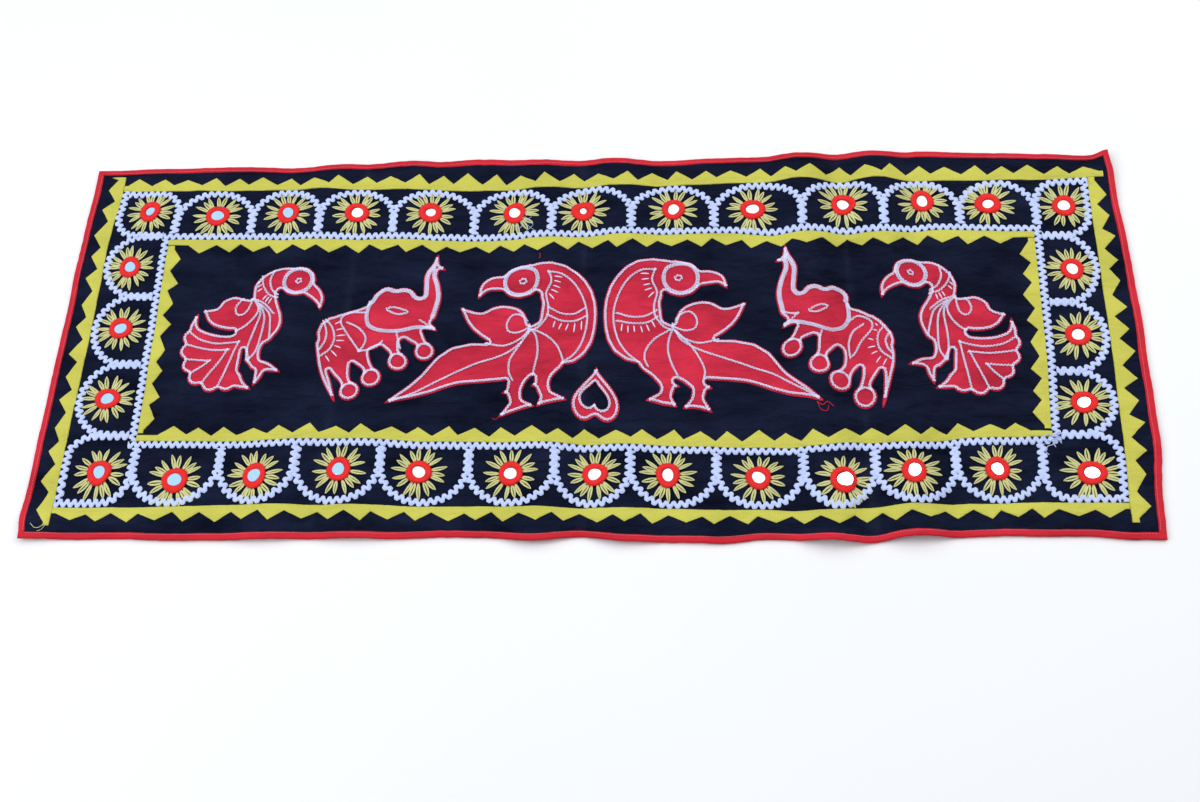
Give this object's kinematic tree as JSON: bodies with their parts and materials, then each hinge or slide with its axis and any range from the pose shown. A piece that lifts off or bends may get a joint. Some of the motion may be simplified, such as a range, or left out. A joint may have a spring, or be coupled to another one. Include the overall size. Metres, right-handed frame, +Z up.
{
  "type": "applique wall tapestry",
  "caption": "Oblong black cotton wall tapestry, bound in red, with yellow sawtooth frames, a scalloped braid border set with round mirrors, and red cut-cloth animals.",
  "frame": {"origin": "on the surface that the tapestry lies on, under the middle of the cloth", "axes": "+X along the long edges to the right, +Y towards the edge that it hangs from, +Z up out of its face"},
  "size_m": [1.155, 0.457, 0.0133],
  "materials": {
    "black_cotton": "matt plain weave",
    "red_binding": "matt plain weave",
    "yellow_cotton": "matt plain weave",
    "white_braid": "woven zigzag braid",
    "red_cotton": "matt plain weave",
    "mirror_glass": "polished"
  },
  "bodies": {
    "root": {"ground_cloth": "black_cotton", "binding_top": "red_binding", "binding_right": "red_binding", "binding_bottom": "red_binding", "binding_left": "red_binding", "outer_sawtooth_top": "yellow_cotton", "outer_sawtooth_right": "yellow_cotton", "outer_sawtooth_bottom": "yellow_cotton", "outer_sawtooth_left": "yellow_cotton", "inner_sawtooth_top": "yellow_cotton", "inner_sawtooth_right": "yellow_cotton", "inner_sawtooth_bottom": "yellow_cotton", "inner_sawtooth_left": "yellow_cotton", "scallops_top": "white_braid", "scallops_right": "white_braid", "scallops_bottom": "white_braid", "scallops_left": "white_braid", "rail_top": "white_braid", "rail_right": "white_braid", "rail_bottom": "white_braid", "rail_left": "white_braid", "peacock_left": "red_cotton", "elephant_left": "red_cotton", "bird_left": "red_cotton", "bird_right": "red_cotton", "elephant_right": "red_cotton", "peacock_right": "red_cotton", "heart": "red_cotton", "mirror_01": "mirror_glass", "mirror_02": "mirror_glass", "mirror_03": "mirror_glass", "mirror_04": "mirror_glass", "mirror_05": "mirror_glass", "mirror_06": "mirror_glass", "mirror_07": "mirror_glass", "mirror_08": "mirror_glass", "mirror_09": "mirror_glass", "mirror_10": "mirror_glass", "mirror_11": "mirror_glass", "mirror_12": "mirror_glass", "mirror_13": "mirror_glass", "mirror_14": "mirror_glass", "mirror_15": "mirror_glass", "mirror_16": "mirror_glass", "mirror_17": "mirror_glass", "mirror_18": "mirror_glass", "mirror_19": "mirror_glass", "mirror_20": "mirror_glass", "mirror_21": "mirror_glass", "mirror_22": "mirror_glass", "mirror_23": "mirror_glass", "mirror_24": "mirror_glass", "mirror_25": "mirror_glass", "mirror_26": "mirror_glass", "mirror_27": "mirror_glass", "mirror_28": "mirror_glass", "mirror_29": "mirror_glass", "mirror_30": "mirror_glass", "mirror_31": "mirror_glass", "mirror_32": "mirror_glass"}
  },
  "joints": []
}
